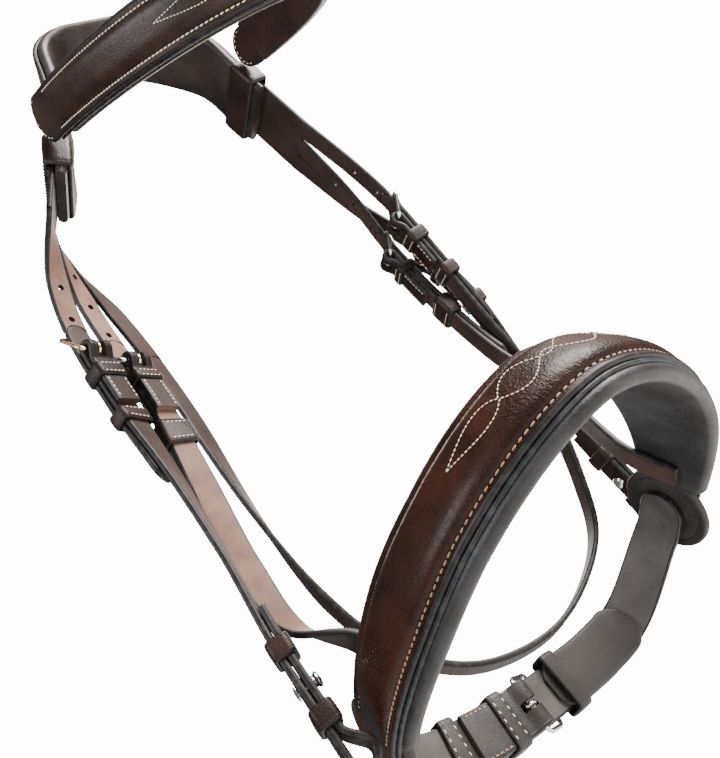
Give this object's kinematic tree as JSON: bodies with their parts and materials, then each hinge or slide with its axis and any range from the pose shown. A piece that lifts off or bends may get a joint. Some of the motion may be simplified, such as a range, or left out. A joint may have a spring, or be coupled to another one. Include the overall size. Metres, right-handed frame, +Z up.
{
  "type": "hunter bridle",
  "caption": "Leather hunter bridle with padded crown, raised stitched browband and noseband, buckled cheekpieces, hangers, chin strap and throatlatch.",
  "frame": {"origin": "middle of the crown lining's flat underside, where the bridle rests on the poll", "axes": "+Z up towards the poll, -Y the front of the face, +X to the right as seen from the front (the horse's left)"},
  "size_m": [0.2372, 0.2533, 0.4646],
  "materials": {
    "dark_leather": "polished",
    "strap_leather": "satin",
    "lining": "matte",
    "steel": "polished"
  },
  "bodies": {
    "headpiece": {"crown_piece": "dark_leather", "crown_lining": "lining", "browband_loop_left": "dark_leather", "browband_loop_right": "dark_leather"},
    "browband": {"browband_strap": "dark_leather", "browband_raised_centre": "dark_leather", "browband_lining": "lining"},
    "noseband": {"noseband_face": "dark_leather", "noseband_lining": "lining", "round_pad_left": "lining", "round_pad_right": "lining", "noseband_hanger_left": "strap_leather", "hanger_buckle_left": "steel", "hanger_billet_left": "dark_leather", "hanger_fixed_keeper_left": "dark_leather", "noseband_hanger_right": "strap_leather", "hanger_buckle_right": "steel", "hanger_billet_right": "dark_leather", "hanger_fixed_keeper_right": "dark_leather"},
    "throatlatch": {"throatlatch": "strap_leather", "throat_buckle": "steel", "throat_billet": "dark_leather", "throat_fixed_keeper": "dark_leather"},
    "chin_strap": {"chin_strap": "dark_leather", "chin_buckle": "steel", "chin_billet": "dark_leather", "chin_fixed_keeper": "dark_leather", "chin_pad": "lining", "chin_loop": "dark_leather"},
    "cheek_left": {"cheekpiece_left": "strap_leather", "cheek_buckle_left": "steel", "cheek_billet_left": "dark_leather", "cheek_fixed_keeper_left": "dark_leather", "hook_stud_left": "steel", "bit_keeper_upper_left": "dark_leather", "bit_keeper_lower_left": "dark_leather"},
    "cheek_right": {"cheekpiece_right": "strap_leather", "cheek_buckle_right": "steel", "cheek_billet_right": "dark_leather", "cheek_fixed_keeper_right": "dark_leather", "hook_stud_right": "steel", "bit_keeper_upper_right": "dark_leather", "bit_keeper_lower_right": "dark_leather"},
    "cheek_tongue_left": {"cheek_tongue_left": "steel"},
    "cheek_runner_left": {"cheek_runner_left": "dark_leather"},
    "cheek_tongue_right": {"cheek_tongue_right": "steel"},
    "cheek_runner_right": {"cheek_runner_right": "dark_leather"},
    "hanger_tongue_left": {"hanger_tongue_left": "steel"},
    "hanger_runner_left": {"hanger_runner_left": "dark_leather"},
    "hanger_tongue_right": {"hanger_tongue_right": "steel"},
    "hanger_runner_right": {"hanger_runner_right": "dark_leather"},
    "throat_tongue": {"throat_tongue": "steel"},
    "throat_runner": {"throat_runner": "dark_leather"},
    "chin_tongue": {"chin_tongue": "steel"},
    "chin_runner": {"chin_runner": "dark_leather"}
  },
  "joints": [
    {"name": "browband_tilt", "type": "hinge", "parent": "headpiece", "child": "browband", "pos_m": [0, -0.01973, -0.082], "axis": [-0.9867, 0.0128, -0.162], "range_deg": [-3, 30]},
    {"name": "noseband_swing", "type": "hinge", "parent": "headpiece", "child": "noseband", "pos_m": [0.00207, 0.06037, -0.18917], "axis": [1, 0.0015, 0.0005], "range_deg": [-1.5, 1.5]},
    {"name": "throatlatch_swing", "type": "hinge", "parent": "headpiece", "child": "throatlatch", "pos_m": [0.01977, 0.07091, -0.1961], "axis": [0.9986, -0.0536, 0.0018], "range_deg": [-2, 14]},
    {"name": "chin_strap_drop", "type": "hinge", "parent": "noseband", "child": "chin_strap", "pos_m": [-0.00404, 0.07394, -0.41803], "axis": [-0.9985, 0.055, 0.0002], "range_deg": [-3, 20]},
    {"name": "cheekpiece_left_swing", "type": "hinge", "parent": "headpiece", "child": "cheek_left", "pos_m": [-0.10401, 0.04519, -0.1773], "axis": [0.8065, 0.586, 0.0788], "range_deg": [0, 25]},
    {"name": "cheekpiece_right_swing", "type": "hinge", "parent": "headpiece", "child": "cheek_right", "pos_m": [0.09835, 0.035, -0.17763], "axis": [-0.087, -0.9324, -0.3507], "range_deg": [0, 25]},
    {"name": "cheek_tongue_left_lift", "type": "hinge", "parent": "cheek_left", "child": "cheek_tongue_left", "pos_m": [-0.10043, 0.0431, -0.19888], "axis": [-0.8001, -0.5948, -0.077], "range_deg": [0, 3]},
    {"name": "cheek_runner_left_slide", "type": "slide", "parent": "cheek_left", "child": "cheek_runner_left", "axis": [-0.0166, 0.0026, -0.9999], "range_m": [-0.0025, 0.004]},
    {"name": "cheek_tongue_right_lift", "type": "hinge", "parent": "cheek_right", "child": "cheek_tongue_right", "pos_m": [0.0932, 0.04292, -0.19752], "axis": [0.1223, 0.9336, 0.3369], "range_deg": [0, 3]},
    {"name": "cheek_runner_right_slide", "type": "slide", "parent": "cheek_right", "child": "cheek_runner_right", "axis": [0.052, 0.3019, -0.9519], "range_m": [-0.0025, 0.004]},
    {"name": "hanger_tongue_left_lift", "type": "hinge", "parent": "noseband", "child": "hanger_tongue_left", "pos_m": [-0.08398, 0.05676, -0.2037], "axis": [-0.8101, -0.5841, -0.0509], "range_deg": [0, 3]},
    {"name": "hanger_runner_left_slide", "type": "slide", "parent": "noseband", "child": "hanger_runner_left", "axis": [-0.0916, 0.0485, -0.9946], "range_m": [-0.0025, 0.004]},
    {"name": "hanger_tongue_right_lift", "type": "hinge", "parent": "noseband", "child": "hanger_tongue_right", "pos_m": [0.08628, 0.06549, -0.20258], "axis": [0.1423, 0.9556, 0.258], "range_deg": [0, 3]},
    {"name": "hanger_runner_right_slide", "type": "slide", "parent": "noseband", "child": "hanger_runner_right", "axis": [0.0334, 0.0961, -0.9948], "range_m": [-0.0025, 0.004]},
    {"name": "throat_tongue_lift", "type": "hinge", "parent": "throatlatch", "child": "throat_tongue", "pos_m": [0.1076, 0.06928, -0.21055], "axis": [0.0949, 0.9825, 0.1604], "range_deg": [0, 3]},
    {"name": "throat_runner_slide", "type": "slide", "parent": "throatlatch", "child": "throat_runner", "axis": [0.0092, 0.2533, -0.9673], "range_m": [-0.0025, 0.004]},
    {"name": "chin_tongue_lift", "type": "hinge", "parent": "chin_strap", "child": "chin_tongue", "pos_m": [-0.02044, 0.1083, -0.43898], "axis": [0.0661, 0.0144, 0.9977], "range_deg": [0, 3]},
    {"name": "chin_runner_slide", "type": "slide", "parent": "chin_strap", "child": "chin_runner", "axis": [-0.9396, -0.2727, 0.2067], "range_m": [-0.001, 0.003]}
  ]
}
